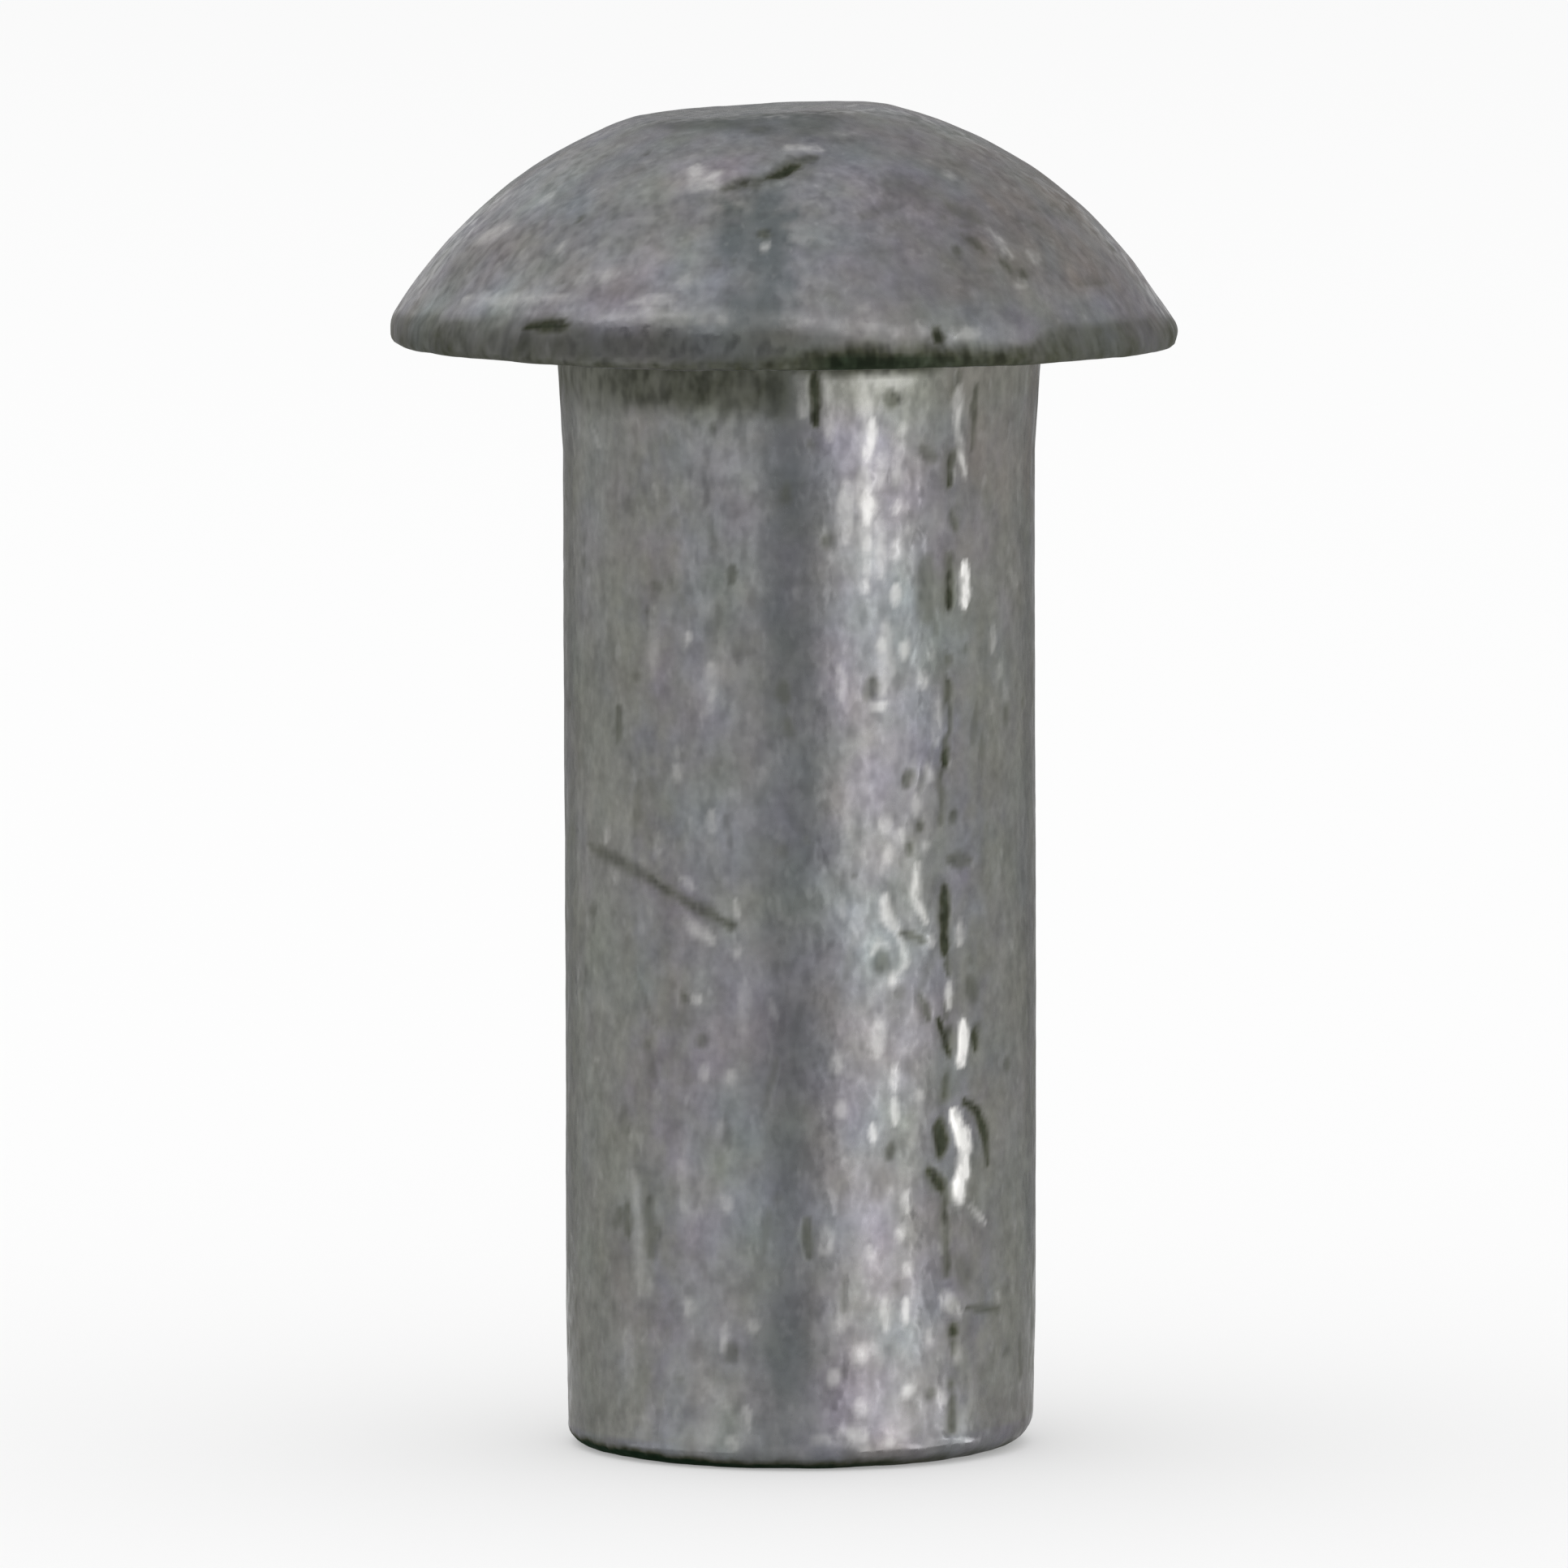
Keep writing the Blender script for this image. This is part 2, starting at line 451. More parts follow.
headMarks = {
    "crestEdge": {"rise": 0.006, "shine": 0.15, "paths": [
        (0.12, (-58, 0.7), (-48, 0.74), (-35, 0.8)), (0.1, (-34, 1.05)), (0.12, (-30, 1.1)),
        (0.1, (-24, 0.78), (-17, 0.84)), (0.13, (-26, 0.6), (-12, 0.6)), (0.1, (-16, 1.05)),
        (0.14, (-28, 0.58), (-20, 0.58), (-14, 0.58)), (0.11, (-9, 0.6)), (0.11, (-1, 0.6), (5, 0.58)),
        (0.14, (9, 0.54)), (0.14, (13, 0.5)), (0.13, (17, 0.44)), (0.13, (26, 0.44), (30, 0.42)),
        (0.1, (21, 0.5)),
    ]},
    "brightRub": {"rise": 0.006, "shine": 0.24, "paths": [
        (0.2, (-67, 1.4), (-64, 1.5), (-61, 1.56)), (0.12, (-57, 1.96)), (0.1, (-42, 1.41)),
        (0.2, (-19, 2.19), (-17, 2.2)), (0.16, (-22, 2.38), (-19, 2.2), (-15, 2.32)),
        (0.12, (2, 2.62), (11, 2.6)), (0.09, (-2.7, 1.47)),
        (0.1, (41.5, 1.6), (42.2, 1.45), (42.7, 1.28)), (0.12, (48, 1.26)),
    ]},
    "crease": {"rise": -0.016, "grime": 0.46, "paths": [
        (0.2, (-12, 2.16), (-6, 2.24), (-1.5, 2.3)), (0.17, (-0.5, 2.36), (4.5, 2.47), (8.5, 2.52)),
    ]},
    "groove": {"rise": -0.014, "grime": 0.5, "paths": [
        (0.12, (40, 1.25), (41, 1.15)), (0.14, (35, 1.55), (37, 1.4)), (0.09, (32, 1.38)),
        (0.09, (43.5, 1.1)), (0.1, (-3.4, 1.63)), (0.1, (-42, 1.72)),
    ]},
    "haze": {"rise": 0.0, "grime": 0.17, "paths": [
        (0.75, (-66, 1.2), (-45, 1.5), (-28, 1.75), (-12, 1.9)),
    ]},
    "pocket": {"rise": -0.014, "grime": 0.85, "paths": [
        (0.1, (-4.5, 2.27), (-1.5, 2.31), (3.5, 2.43)), (0.09, (-8.5, 2.2)),
        (0.15, (23.6, 0.47), (23.6, 0.32)), (0.15, (-41, 0.44), (-34, 0.47)),
    ]},
    "stain": {"rise": -0.004, "grime": 0.3, "paths": [
        (0.36, (27, 2.14), (30, 2.1)), (0.2, (36, 1.9), (40, 1.75)),
    ]},
}
# Small wear all over, the back as much as the front
scatter = {
    "seed": 11,
    "shankShare": 0.72,        # the rest lies on the head
    "shankHeights": (0.4, 13.8),
    "headHeights": (0.4, 2.9),
    "headTop": 2.95,
    "headSlope": 0.8,          # how much of a mark's length runs upwards on the head
    "turn": 20,                # degrees round, per millimetre sideways
    "strengths": (0.2, 1.0),
    "kinds": {
        "scratch": {"count": 110, "rise": -0.008, "grime": 0.3,
                    "widths": (0.06, 0.1), "lengths": (0.1, 0.7), "lean": 0.3},
        "dent": {"count": 90, "rise": -0.014, "grime": 0.15,
                 "widths": (0.12, 0.3), "lengths": (0.02, 0.2), "lean": 1.0},
        "pit": {"count": 110, "rise": -0.012, "grime": 0.4,
                "widths": (0.06, 0.1), "lengths": (0.0, 0.04), "lean": 1.0},
        "rub": {"count": 130, "rise": 0.003, "shine": 0.14,
                "widths": (0.06, 0.12), "lengths": (0.0, 0.25), "lean": 0.4},
    },
}
# The edge of a mark, in shares of its width
brush = {
    "spotHeight": 0.3,         # from a spot's middle to its ends
    "core": 0.2,
    "edge": 1.25,
    "thinEnds": 0.5,
    "blunt": 0.02,             # share of a mark's length at each end that no longer thins
    "margin": 0.3,             # millimetres further that a mark may spread
}


def onShank(azimuth, height):
    turn = math.radians(azimuth)
    return np.array([shankRadius * math.sin(turn), -shankRadius * math.cos(turn), height])


def onHead(azimuth, height):
    radius, middleX, middleZ = domeBall(form)
    turn = math.radians(azimuth)
    out = math.sqrt(radius ** 2 - (seatHeight + height - middleZ) ** 2)
    return np.array([middleX + out * math.sin(turn), -out * math.cos(turn), seatHeight + height])


def markShare(skin, path, width):             # 1 along the middle of a mark, 0 outside its ragged edge
    points, normals = skin["points"], skin["normals"]
    upwards = np.array([0, 0, brush["spotHeight"] * width])
    ends = list(zip(path[:-1], path[1:])) or [(path[0] - upwards, path[0] + upwards)]
    reach = max(np.linalg.norm(b - a) for a, b in ends) / 2 + width + brush["margin"]
    share = np.zeros(len(points))
    length = sum(np.linalg.norm(b - a) for a, b in ends)
    gone = 0.0
    for a, b in ends:
        near = np.flatnonzero(np.abs(points - (a + b) / 2).max(axis=1) < reach)
        step = b - a
        along = np.clip((points[near] - a) @ step / max(step @ step, 1e-9), 0, 1)
        off = points[near] - (a + along[:, None] * step)
        flat = off - normals[near] * (off * normals[near]).sum(axis=1)[:, None]
        narrow = 1.0
        if length > width:
            place = (gone + along * np.linalg.norm(step)) / length
            place = np.clip(place, brush["blunt"], 1 - brush["blunt"])
            narrow = brush["thinEnds"] + (1 - brush["thinEnds"]) * np.sqrt(np.sin(np.pi * place))
        away = np.linalg.norm(flat, axis=1) / (width * narrow) + skin["ragged"][near]
        share[near] = np.maximum(share[near], 1 - ramp(away, brush["core"], brush["edge"]))
        gone += np.linalg.norm(step)
    return share


def addMark(skin, kind, path, width, strength=1.0):
    share = strength * markShare(skin, path, width)
    skin["rise"] += kind["rise"] * share
    for name in ("shine", "grime"):
        skin[name] = np.maximum(skin[name], kind.get(name, 0) * share)


def applyMarks(skin, marks, place):
    for kind in marks.values():
        for width, *path in kind["paths"]:
            addMark(skin, kind, [place(*spot) for spot in path], width)


def between(ends, share):
    return ends[0] + (ends[1] - ends[0]) * share


def applyScatter(skin, values):
    rolled = random.Random(values["seed"])
    for kind in values["kinds"].values():
        for _ in range(kind["count"]):
            azimuth, height = rolled.uniform(-180, 180), rolled.random()
            width, strength = rolled.uniform(*kind["widths"]), rolled.uniform(*values["strengths"])
            long, lean = rolled.uniform(*kind["lengths"]), rolled.gauss(0, kind["lean"])
            if rolled.random() < values["shankShare"]:
                low = between(values["shankHeights"], height)
                path = [onShank(azimuth, low), onShank(azimuth + values["turn"] * long * lean, low + long)]
            else:
                low = between(values["headHeights"], height)
                high = min(values["headTop"], low + values["headSlope"] * long * lean)
                path = [onHead(azimuth, low), onHead(azimuth + values["turn"] * long, high)]
            addMark(skin, kind, path, width, strength)


# Noises of the skin: offset, scale per millimetre, stretch along Z, octaves
skinNoises = {"slow": (0, 0.55, 0.45, 2), "medium": (7, 1.7, 0.5, 2), "small": (3, 4.5, 0.7, 2),
              "tiny": (5, 8.0, 0.6, 1)}
# How much of each goes into the marks' ragged edges and, in millimetres, into the surfaces
noiseShares = {
    "ragged": {"small": 0.3, "medium": 0.2, "tiny": 0.35},
    "shank": {"medium": 0.004, "small": 0.003},
    "head": {"medium": 0.012, "small": 0.003, "slow": 0.01},
}


def steadyNoise(points, offset, scale, stretch, octaves):
    placed = (points + offset) * scale * np.array((1, 1, stretch))
    if octaves == 1:
        return np.array([noise.noise(Vector(p)) for p in placed])
    return np.array([noise.fractal(Vector(p), 1.0, 2.0, octaves) for p in placed])


def mixNoise(skin, shares):
    return sum(share * skin[name] for name, share in shares.items())


# Tables give a strength or a height at an azimuth. A pair is where a change begins and ends.
dirtPlaces = {
    # the rim's lip, and the height up to which its dirt reaches
    "lip": ((-180, 0.45), (-90, 0.45), (-60, 0.58), (-38, 0.53), (-28, 0.36), (7, 0.36), (22, 0.42),
            (40, 0.6), (90, 0.5), (180, 0.45)),
    "lipTop": ((-180, 0.24), (-80, 0.42), (-52, 0.52), (-41, 0.58), (-32, 0.52), (-24, 0.44), (-9, 0.42),
               (-1, 0.48), (6, 0.46), (13, 0.38), (20, 0.38), (28, 0.29), (37, 0.26), (46, 0.46),
               (70, 0.44), (100, 0.3), (180, 0.24)),
    "lipFade": 0.08,           # above and below that height
    "lipWave": 0.06,           # how far that height wanders
    "lipThinning": (1.1, 0.9),     # strength at the bottom, and its loss per millimetre
    "lipPatches": {"medium": 0.35, "small": 0.3},
    # the darkest line, along the rim's lower edge
    "rim": ((-80, 0.4), (-60, 0.62), (-12, 0.66), (0, 0.72), (8, 0.93), (20, 0.9), (28, 0.84), (36, 0.74),
            (46, 0.46), (60, 0.3)),
    "rimTop": ((-20, 0.14), (4, 0.42), (11, 0.54), (20, 0.52), (25, 0.42), (34, 0.4), (50, 0.16)),
    "rimCore": 0.2,            # share of its reach in which it is full
    "rimWave": 0.04,
    # a band round the shank under the head, on the left
    "under": {"strength": 0.55, "patches": 0.1, "heights": (13.2, 13.6), "wave": 0.05, "start": (-120, -90),
              "stop": (-5, 0), "stopShare": 0.9, "pale": (42, 56), "paleShare": 0.35},
    # the corner under the head, on the right
    "corner": {"strength": 0.7, "heights": (13.78, 14.0), "start": (-10, 2), "stop": (32, 40)},
    # the edge of the shank's end
    "foot": {"heights": (0.06, 0.18), "wave": 0.04, "lift": 0.06, "lifted": (15, 45), "thinAt": 55,
             "thinWidth": 28, "thinShare": 0.5},
    "seat": 0.3,
    # a long crack down the shank: its places are (height, azimuth)
    "crack": {"line": ((0.5, 40), (1.5, 40), (3, 37.5), (4.3, 37), (5.5, 38), (7, 37.5), (8.3, 35.5),
                       (9.5, 38.5), (11, 39), (13.9, 40)),
              "width": 1.9, "gaps": (-0.2, 0.45), "depth": 0.012, "strength": 0.6},
    "shineClears": 0.3,        # share of a mark's dirt that its shine takes away
}


def layDirt(skin, places):
    azimuth, height, high = skin["azimuth"], skin["points"][:, 2], skin["high"]
    side, cap, small, medium = skin["side"], skin["cap"], skin["small"], skin["medium"]
    top = follow(places["lipTop"], azimuth) - places["lipWave"] * medium
    lip = cap * (1 - ramp(high, top - places["lipFade"], top + places["lipFade"]))
    bottom, loss = places["lipThinning"]
    lip = lip * (bottom - loss * high) * (1 + mixNoise(skin, places["lipPatches"]))
    lip = lip * follow(places["lip"], azimuth)
    reach = follow(places["rimTop"], azimuth)
    rim = cap * (1 - ramp(high + places["rimWave"] * small, places["rimCore"] * reach, reach))
    rim = rim * follow(places["rim"], azimuth)
    values = places["under"]
    under = side * ramp(height + values["wave"] * small, *values["heights"])
    under = under * ramp(azimuth, *values["start"])
    under = under * (1 - values["stopShare"] * ramp(azimuth, *values["stop"]))
    under = under * (1 - values["paleShare"] * ramp(-azimuth, *values["pale"]))
    under = under * (values["strength"] + values["patches"] * small)
    values = places["corner"]
    corner = values["strength"] * side * ramp(height, *values["heights"])
    corner = corner * ramp(azimuth, *values["start"]) * (1 - ramp(azimuth, *values["stop"]))
    values = places["foot"]
    lift = values["lift"] * ramp(-azimuth, *values["lifted"])
    foot = 1 - ramp(height + values["wave"] * small - lift, *values["heights"])
    foot = foot * (1 - values["thinShare"] * bell(azimuth, values["thinAt"], values["thinWidth"]))
    values = places["crack"]
    crack = side * bell(azimuth, follow(values["line"], height), values["width"])
    crack = crack * ramp(medium + small, *values["gaps"])
    skin["rise"] -= values["depth"] * crack
    marks = skin["grime"] * (1 - places["shineClears"] * skin["shine"])
    skin["grime"] = np.maximum.reduce([marks, lip, rim, values["strength"] * crack, under, corner, foot,
                                       places["seat"] * skin["seat"]])


rubbedPlaces = {
    # the upper edge of the rim's lip
    "crest": {"strength": 0.07, "above": 0.04, "height": 0.12, "at": -5, "width": 40},
    # the lowest part of the shank
    "end": {"strength": 0.08, "heights": (0.6, 1.3), "wave": 0.3, "gaps": (-0.4, 0.4)},
}


def rubBright(skin, places):
    values = places["crest"]
    crest = skin["cap"] * bell(skin["high"], crestHeight(form, skin["azimuth"]) + values["above"],
                               values["height"])
    crest = values["strength"] * crest * bell(skin["azimuth"], values["at"], values["width"])
    values = places["end"]
    height = skin["points"][:, 2] + values["wave"] * skin["medium"]
    end = skin["side"] * (1 - ramp(height, *values["heights"]))
    end = values["strength"] * end * ramp(skin["medium"], *values["gaps"])
    skin["shine"] = np.maximum.reduce([skin["shine"], crest, end])


# Dull patches. X and Y run from the shank's axis, heights on the head from the bearing face.
tarnishPlaces = {
    "patch": {"left": (-1.3, -0.75), "leftWave": 0.2, "right": (-0.3, 0.08), "rightWave": 0.2,
              "bottom": (0.4, 0.62), "bottomWave": 0.1, "top": (1.8, 2.1), "topWave": 0.2,
              "knobX": (-0.45, 0.35), "knobHigh": (2.0, 0.25), "strength": 0.85, "patches": 0.5},
    "band": {"at": -3, "width": 8, "strength": 0.45, "patches": 0.8},
    "shade": {"at": 8, "width": 13, "heights": (0.8, 1.4), "strength": 0.25},
    "struck": {"heights": (2.74, 2.86), "wave": 0.08, "back": (-1.1, -0.4), "left": (-2.1, -1.5),
               "right": (0.2, 0.8), "strength": 0.5, "grime": 0.25},
    "flat": {"below": (0.3, 0.1), "left": (-0.4, 1.0), "strength": 0.5},
}


def layTarnish(skin, places):
    x, y, z = skin["points"].T
    azimuth, high, cap = skin["azimuth"], skin["high"], skin["cap"]
    small, medium = skin["small"], skin["medium"]
    front = cap * (y < 0)
    values = places["patch"]
    patch = front * ramp(x + values["leftWave"] * medium, *values["left"])
    patch = patch * (1 - ramp(x + values["rightWave"] * small, *values["right"]))
    patch = patch * ramp(high + values["bottomWave"] * small, *values["bottom"])
    patch = patch * (1 - ramp(high + values["topWave"] * small, *values["top"]))
    knob = front * bell(x, *values["knobX"]) * bell(high, *values["knobHigh"])
    patch = np.maximum(patch, knob) * (values["strength"] + values["patches"] * medium)
    values = places["band"]
    band = values["strength"] * skin["side"] * bell(azimuth, values["at"], values["width"])
    band = band * (1 + values["patches"] * medium)
    values = places["shade"]
    shade = values["strength"] * cap * bell(azimuth, values["at"], values["width"])
    shade = shade * ramp(high, *values["heights"])
    values = places["flat"]
    lowest, full = [highCorner[2] - depth for depth in values["below"]]
    flat = values["strength"] * cap * ramp(z, lowest, full) * ramp(-x, *values["left"])
    values = places["struck"]
    struck = cap * ramp(high + values["wave"] * medium, *values["heights"]) * (1 - ramp(y, *values["back"]))
    struck = struck * ramp(x, *values["left"]) * (1 - ramp(x, *values["right"]))
    tarnish = np.maximum.reduce([patch, band, shade, values["strength"] * struck, flat])
    skin["tarnish"] = np.clip(tarnish, 0, 1)
    skin["grime"] = np.maximum(skin["grime"], values["grime"] * struck * (1 + medium))


tintPlaces = {
    # yellowish steel, on the shank's flanks and under the head
    "straw": {"middle": 5, "flanks": (30, 55), "wave": 12, "strength": 0.75, "patches": 0.3,
              "heights": (13.1, 13.7)},
    # a breath of rust, on the right
    "headRust": {"strength": 0.8, "left": (1.6, 2.8), "wave": 0.4, "heights": (0.6, 1.0)},
    "shankRust": {"strength": 0.6, "heights": (11.8, 13.2), "wave": 0.5,
                  "start": (28, 45), "stop": (90, 120)},
    "rustPatches": (0.8, 0.8),
}


def layTints(skin, places):
    x, z = skin["points"][:, 0], skin["points"][:, 2]
    azimuth, high, side, medium = [skin[name] for name in ("azimuth", "high", "side", "medium")]
    values = places["straw"]
    flanks = ramp(np.abs(azimuth - values["middle"]) + values["wave"] * skin["small"], *values["flanks"])
    flanks = side * flanks * (values["strength"] + values["patches"] * medium)
    skin["straw"] = np.maximum(side * ramp(z, *values["heights"]), flanks)
    values = places["headRust"]
    head = values["strength"] * skin["cap"] * ramp(x + values["wave"] * medium, *values["left"])
    head = head * ramp(high, *values["heights"])
    values = places["shankRust"]
    shank = values["strength"] * side * ramp(z + values["wave"] * medium, *values["heights"])
    shank = shank * ramp(azimuth, *values["start"]) * (1 - ramp(azimuth, *values["stop"]))
    most, patches = places["rustPatches"]
    skin["rust"] = np.maximum(head, shank) * (most + patches * medium)


def weatherSkin(points, normals, parts):      # how far each point rises, and what lies on it
    cap = parts == "cap"
    middleX = domeBall(form)[1]
    azimuth = np.degrees(np.arctan2(points[:, 0] - cap * middleX, -points[:, 1]))
    skin = {"points": points, "normals": normals, "azimuth": azimuth, "high": points[:, 2] - seatHeight,
            "side": parts == "side", "cap": cap, "seat": parts == "seat",
            "shine": np.zeros(len(points)), "grime": np.zeros(len(points))}
    for name, values in skinNoises.items():
        skin[name] = steadyNoise(points, *values)
    skin["ragged"] = mixNoise(skin, noiseShares["ragged"])
    shankRise, headRise = [mixNoise(skin, noiseShares[name]) for name in ("shank", "head")]
    skin["rise"] = np.where(skin["side"], shankRise, headRise)
    applyScatter(skin, scatter)
    applyMarks(skin, shankMarks, onShank)
    applyMarks(skin, headMarks, onHead)
    layDirt(skin, dirtPlaces)
    rubBright(skin, rubbedPlaces)
    layTarnish(skin, tarnishPlaces)
    layTints(skin, tintPlaces)
    return skin


# The texture sheet is laid out in millimetres on a square this wide.
sheet = {"width": 27.8, "gap": 0.3, "capAt": (6.7, 21.0), "seatAt": (18.6, 19.6), "endAt": (22.8, 3.6)}


def sheetPlaces(values, rings, part, turn, radius, run):
    last = {ring["part"]: ring["run"] for ring in rings}
    across = values["gap"] + turn * shankRadius
    up = values["gap"] + run - last["end"]
    outward = {"cap": last["cap"] - run, "seat": radius, "end": run}
    for name, out in outward.items():
        middle = values[name + "At"]
        chosen = part == name
        across = np.where(chosen, middle[0] + out * np.cos(turn), across)
        up = np.where(chosen, middle[1] + out * np.sin(turn), up)
    return np.stack([across, up], axis=-1) / values["width"]


def makeRivet(values):
    rings = rivetRings(values)
    points = np.concatenate([ring["at"] for ring in rings])
    parts = np.concatenate([[ring["part"]] * len(ring["turn"]) for ring in rings])
    turns = np.concatenate([ring["turn"] for ring in rings])
    runs = np.concatenate([[ring["run"]] * len(ring["turn"]) for ring in rings])
    faces = []
    faceParts = []
    first = 0
    for lower, upper in zip(rings[:-1], rings[1:]):
        count = len(lower["turn"])
        made = bridge(first, count, first + count, len(upper["turn"]))
        faces += made
        faceParts += [upper["part"]] * len(made)
        first += count
    mesh = bpy.data.meshes.new("rivetSteel")
    mesh.from_pydata(points.tolist(), [], faces)
    normals = np.zeros(3 * len(points))
    mesh.vertices.foreach_get("normal", normals)
    skin = weatherSkin(points, normals.reshape(-1, 3), parts)
    points = (points + skin["rise"][:, None] * skin["normals"]) * mm
    points[:, 2] = np.maximum(points[:, 2], 0)
    mesh.vertices.foreach_set("co", points.ravel())
    for name in ("shine", "grime", "tarnish", "straw", "rust"):
        mesh.attributes.new(name, "FLOAT", "POINT").data.foreach_set("value", skin[name])
    loopPoint = np.array([point for face in faces for point in face])
    loopFace = np.repeat(np.arange(len(faces)), [len(face) for face in faces])
    turn = turns[loopPoint]
    most = np.zeros(len(faces))
    np.maximum.at(most, loopFace, turn)
    closing = (turn == 0) & (most[loopFace] > math.pi)       # in the faces that close the ring
    turn = np.where(closing, 2 * math.pi, turn)
    radius = np.linalg.norm(points[loopPoint, :2], axis=1) / mm
    places = sheetPlaces(sheet, rings, np.array(faceParts)[loopFace], turn, radius, runs[loopPoint])
    mesh.uv_layers.new(name="OFBake").data.foreach_set("uv", places.ravel())
    mesh.polygons.foreach_set("use_smooth", [True] * len(mesh.polygons))
    mesh.update()
    print("rivet mesh:", len(points), "points,", sum(len(face) - 2 for face in faces), "triangles")
    return addObject("rivetSteel", mesh)


steelLook = {
    "base": 0.19,
    # even grey and the grains in it: shares
    "even": 0.2,
    "wide": 0.35,
    "broad": 0.4,
    "fine": 0.5,
    "speck": 0.35,
    # scales of the grains, per millimetre
    "scales": {"wide": 0.6, "broad": 2.2, "fine": 4.5, "speck": 8.0, "torn": 7.0, "spark": 6.5, "pink": 0.9,
               "blue": 1.3, "relief": 1.6},
    "upward": 0.8,             # stretch of most grains along Z
    "drawn": 0.5,              # stretch of those that follow the drawn wire: torn, frost and spark
    "tornFrom": (0.36, 0.66),  # grain levels between which each sets in
    "frostFrom": (0.3, 0.75),
    "sparkFrom": (0.62, 0.8),
    "pinkness": 0.17,          # how far the tint wanders between pink and green
    "blueness": 0.4,
    "coldness": 1.03,
    "straw": (1.0, 1.01, 0.87),
    "rust": (1.1, 0.98, 0.9),
    "tintShare": 0.8,
    "tarnish": (0.095, (0.88, 1.0, 1.05)),
    "tarnishShare": 0.85,
    "fresh": 0.8,              # bare metal in new cuts
    "freshTint": (1, 0.99, 0.96),
    "sparkShare": 0.06,        # bare metal in the small specks all over
    "bareMix": (0.4, 0.7, 0.5),        # even, torn, specks
    "grime": (0.073, 0.077, 0.054),
    "grimeMix": (0.55, 0.75, 0.6),     # even, fine, specks
    "scale": (0.01, 0.026, 0.013),     # the darkest dirt, in the corners
    "scaleFrom": (0.74, 1.05),         # strengths of dirt between which it takes over
    "roughness": 0.16,
    "frost": 0.32,             # added to the roughness in dull specks
    "dirtDullness": 0.5,       # and in dirt
    "relief": {"broad": 0.008, "fine": 0.008, "speck": 0.003},    # millimetres
    "edgeTint": 0.6,
}


def steelMaterial(values):
    material, at = newMaterial("steel")
    metres = at.node("ShaderNodeTexCoord", take=3)
    place = at.node("ShaderNodeVectorMath", {"operation": "SCALE"}, {0: metres, "Scale": 1 / mm})
    stretch = {"operation": "MULTIPLY"}
    along = at.node("ShaderNodeVectorMath", stretch, {0: place, 1: (1, 1, values["upward"])})
    drawn = at.node("ShaderNodeVectorMath", stretch, {0: place, 1: (1, 1, values["drawn"])})
    shine, grime, tarnish, straw, rust = [at.node("ShaderNodeAttribute", {"attribute_name": name}, take=2)
                                          for name in ("shine", "grime", "tarnish", "straw", "rust")]
    scales = values["scales"]
    fine = grain(along, scales["fine"], 1.0, 0.6)
    speck = grain(place, scales["speck"], 1.0, 0.6)
    torn = smooth(grain(drawn, scales["torn"], 1.0), *values["tornFrom"])
    frost = smooth(grain(drawn, scales["torn"], 1.0), *values["frostFrom"])
    sparks = smooth(grain(drawn, scales["spark"], 1.0), *values["sparkFrom"])
    pink = (grain(along, scales["pink"]) - 0.5) * values["pinkness"]
    blue = (grain(along, scales["blue"]) - 0.5) * values["blueness"]
    tint = at.node("ShaderNodeCombineXYZ", None,
                   {"X": 1 + pink, "Y": 1 - pink, "Z": values["coldness"] + blue})
    tint = blendColours(straw * values["tintShare"], tint, grey(1, values["straw"]))
    tint = blendColours(rust * values["tintShare"], tint, grey(1, values["rust"]))
    level = values["even"] + values["fine"] * fine + values["speck"] * speck
    level = level + values["wide"] * grain(along, scales["wide"])
    level = values["base"] * (level + values["broad"] * grain(along, scales["broad"], 1.0))
    colour = at.node("ShaderNodeVectorMath", {"operation": "SCALE"}, {0: tint, "Scale": level})
    colour = blendColours(tarnish * values["tarnishShare"], colour, grey(*values["tarnish"]))
    colour = blendColours(sparks * values["sparkShare"], colour, grey(values["fresh"]))
    even, byTorn, bySpeck = values["bareMix"]
    bare = shine * (even + byTorn * torn + bySpeck * speck)
    colour = blendColours(bare, colour, grey(values["fresh"], values["freshTint"]))
    even, byFine, bySpeck = values["grimeMix"]
    dirt = grime * (even + byFine * fine + bySpeck * speck)
    colour = blendColours(dirt, colour, grey(1, values["grime"]))
    colour = blendColours(smooth(grime, *values["scaleFrom"]), colour, grey(1, values["scale"]))
    roughness = values["roughness"] + values["frost"] * frost + values["dirtDullness"] * dirt
    relief = values["relief"]
    height = relief["broad"] * grain(along, scales["relief"], 1.0)
    height = height + relief["fine"] * fine + relief["speck"] * speck
    bump = at.node("ShaderNodeBump", None, {"Height": height, "Distance": mm, "Strength": 1.0})
    shader = at.node("ShaderNodeBsdfPrincipled", None, {
        "Base Color": colour, "Metallic": 1.0, "Roughness": roughness,
        "Specular Tint": grey(values["edgeTint"]), "Normal": bump})
    at.node("ShaderNodeOutputMaterial", None, {"Surface": shader})
    return material


studio = {
    "floorSide": 4000,
    "floorGrey": 0.9,
    "floorGlow": 0.3,          # share of the floor that is plain white, the rest takes shadows
    "world": 1,
    "topLamp": {"size": 400, "at": (-90, 30, 330), "aim": (0, 0, 8), "power": 0.15},
    "cardSteps": 24,           # faces round a card
    "crumple": 0.35,           # creases per millimetre in a crumpled card
}
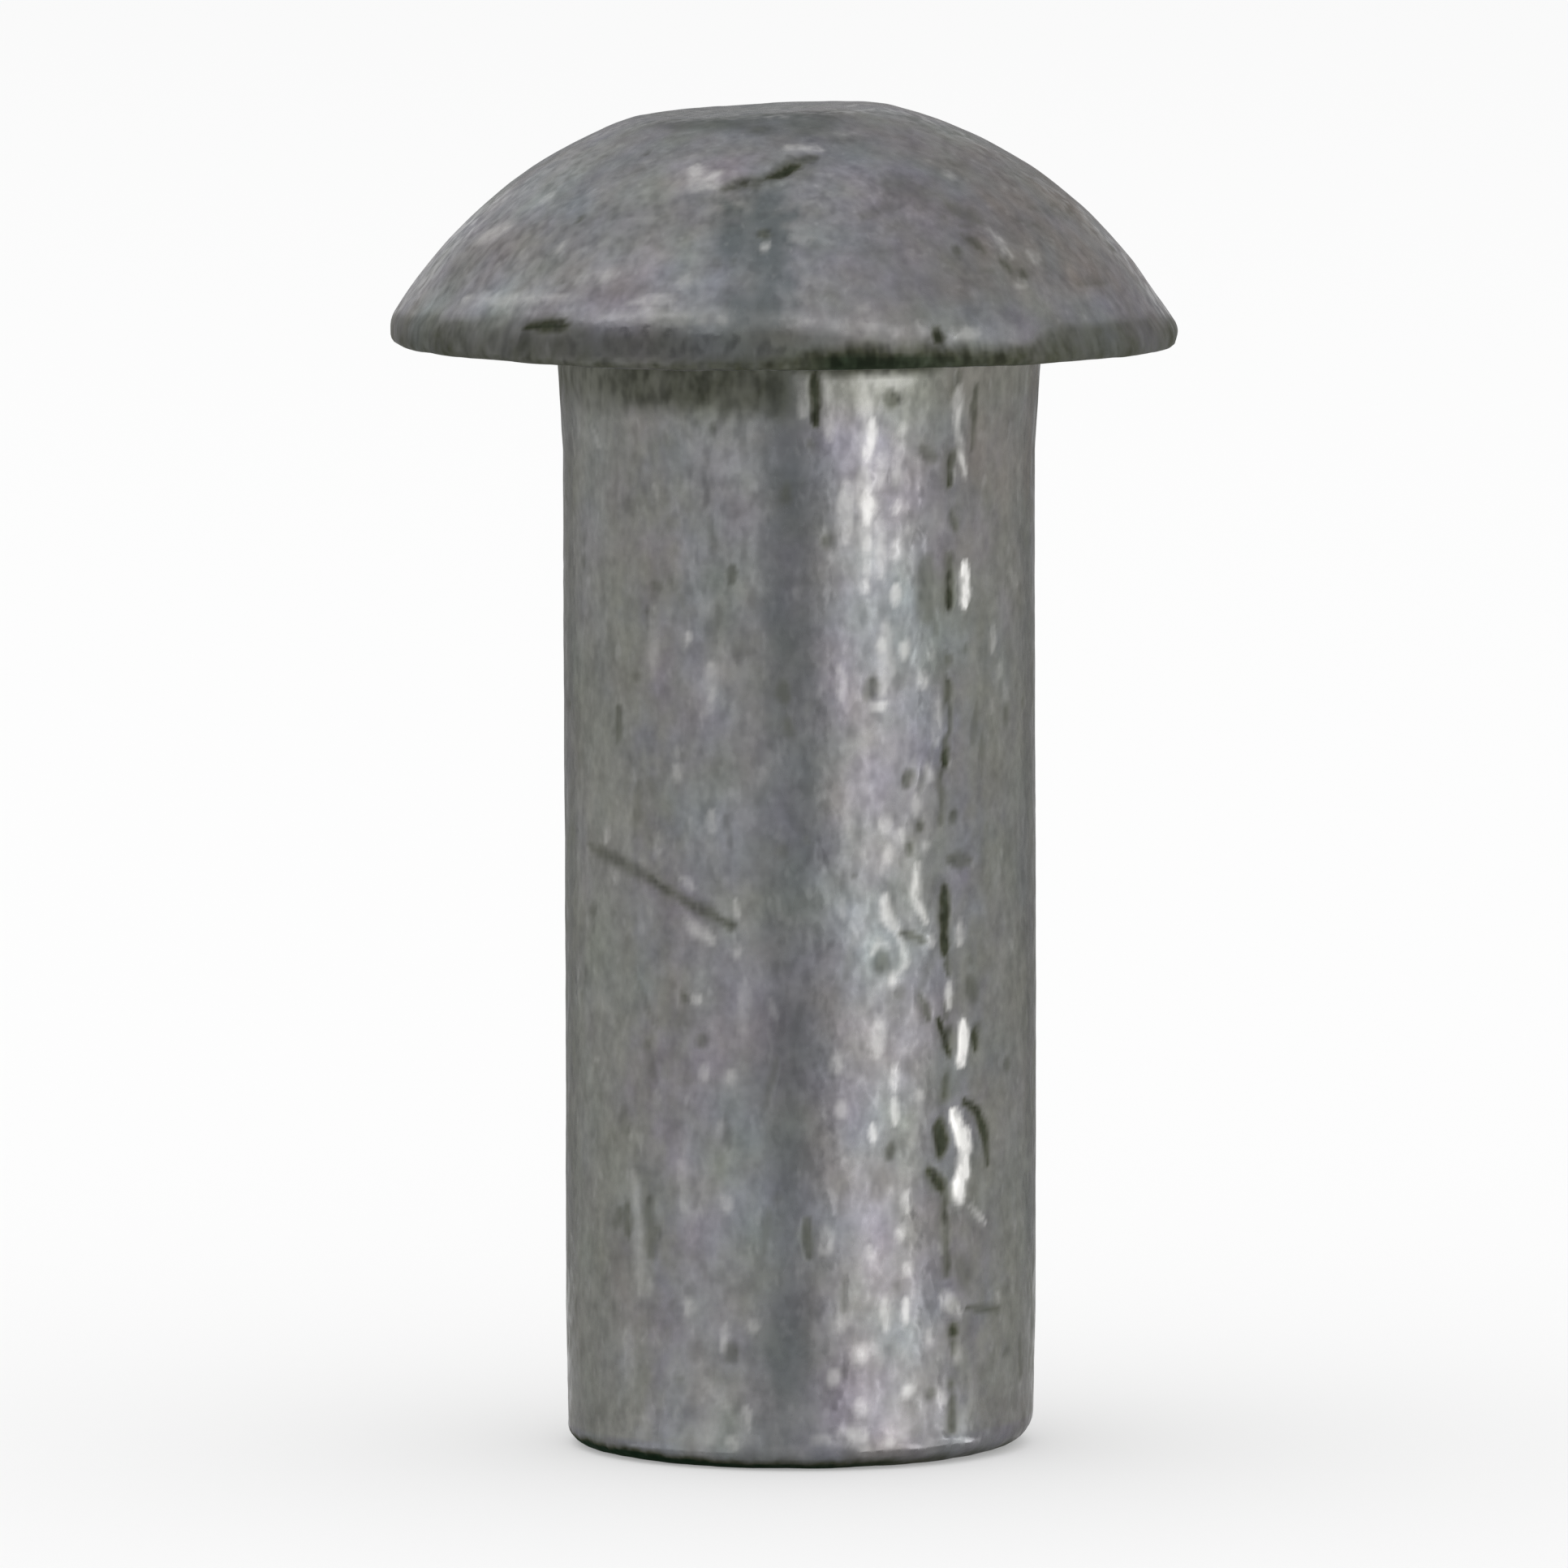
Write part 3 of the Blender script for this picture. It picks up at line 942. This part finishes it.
# Cards round the rivet, which only its gloss sees: an upright sheet with a strip on the floor before it.
# Each has its distances from the axis, its azimuths, its heights and its glow.
cards = {
    "foilCard": {"out": (3.15, 24), "turn": (15.5, 57), "up": (0.05, 26), "level": 1.75, "crumple": 1.4},
    "glintCard": {"out": (3.1, 23.8), "turn": (30.5, 35), "up": (0.06, 26), "level": 2.8, "crumple": 1.5},
    "sideGlint": {"out": (3.1, 23.8), "turn": (49.5, 53.5), "up": (0.06, 26), "level": 2.7, "crumple": 1.5},
    "lensCard": {"out": (11, 22), "turn": (-12, 9), "up": (0.06, 14), "level": 0.8},
    "softCard": {"out": (3.2, 24), "turn": (-54, -18), "up": (0.05, 26), "level": 1.18},
    "lipCard": {"out": (21, 21), "turn": (-70, 12), "up": (14, 27), "level": 0.3},
    "leftCard": {"out": (25, 25), "turn": (-160, -100), "up": (18, 36), "level": 1.45},
    "shadeCard": {"out": (25, 25), "turn": (70, 150), "up": (34, 66), "level": 0.84},
    "backCard": {"out": (20, 20), "turn": (160, 200), "up": (0, 20), "level": 0.4},
    "wideCard": {"out": (21, 21), "turn": (136, 224), "up": (0, 13), "level": 0.6},
}


def makeCard(name, values, steps, creases):
    near, far = values["out"]
    low, high = values["up"]
    points = []
    for i in range(steps + 1):
        turn = math.radians(between(values["turn"], i / steps))
        for radius, height in ((near, low), (far, low), (far, high)):
            points.append((radius * mm * math.sin(turn), -radius * mm * math.cos(turn), height * mm))
    faces = []
    for i in range(steps):
        for k in range(2):
            faces.append((3 * i + k, 3 * i + 3 + k, 3 * i + 4 + k, 3 * i + 1 + k))
    mesh = bpy.data.meshes.new(name)
    mesh.from_pydata(points, [], faces)
    card = addObject(name, mesh)
    material, at = newMaterial(name)
    strength = values["level"]
    if "crumple" in values:
        place = at.node("ShaderNodeTexCoord", take=3)
        strength = strength * (1 + values["crumple"] * (grain(place, creases / mm, 1.0) - 0.5))
    glow = at.node("ShaderNodeEmission", None, {"Color": grey(1), "Strength": strength})
    at.node("ShaderNodeOutputMaterial", None, {"Surface": glow})
    material.cycles.emission_sampling = "NONE"
    mesh.materials.append(material)
    card.visible_camera = False
    card.visible_diffuse = False
    card.visible_transmission = False
    card.visible_shadow = False


def makeLamp(name, values):
    data = bpy.data.lights.new(name, "AREA")
    data.shape = "SQUARE"
    data.size = values["size"] * mm
    data.energy = values["power"]
    lamp = addObject(name, data)
    lamp.location = Vector(values["at"]) * mm
    lamp.rotation_euler = (Vector(values["aim"]) - Vector(values["at"])).to_track_quat("-Z", "Y").to_euler()


def makeFloor(values):
    half = values["floorSide"] * mm / 2
    mesh = bpy.data.meshes.new("floor")
    corners = [(-half, -half, 0), (half, -half, 0), (half, half, 0), (-half, half, 0)]
    mesh.from_pydata(corners, [], [(0, 1, 2, 3)])
    floor = addObject("floor", mesh)
    material, at = newMaterial("paleFloor")
    white = at.node("ShaderNodeEmission", None, {"Color": grey(1), "Strength": 1.0})
    matt = at.node("ShaderNodeBsdfDiffuse", None, {"Color": grey(values["floorGrey"])})
    mixed = at.node("ShaderNodeMixShader", None, {0: values["floorGlow"], 1: matt, 2: white})
    at.node("ShaderNodeOutputMaterial", None, {"Surface": mixed})
    mesh.materials.append(material)


def makeWorld(values):
    world = bpy.data.worlds.new("studio")
    world.use_nodes = True
    world.node_tree.nodes.clear()
    bpy.context.scene.world = world
    at = Sock(world.node_tree)
    sky = at.node("ShaderNodeBackground", None, {"Color": grey(1), "Strength": values["world"]})
    at.node("ShaderNodeOutputWorld", None, {"Surface": sky})


makeCamera(cameraSet)
print("camera done")
makeFloor(studio)
makeWorld(studio)
makeLamp("topLamp", studio["topLamp"])
for name, values in cards.items():
    makeCard(name, values, studio["cardSteps"], studio["crumple"])
bpy.context.scene.view_settings.view_transform = "Standard"
print("studio done")

rivet = makeRivet(form)
rivet.data.materials.append(steelMaterial(steelLook))
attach(rivet, "root")
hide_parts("rivet")
print("rivet done")
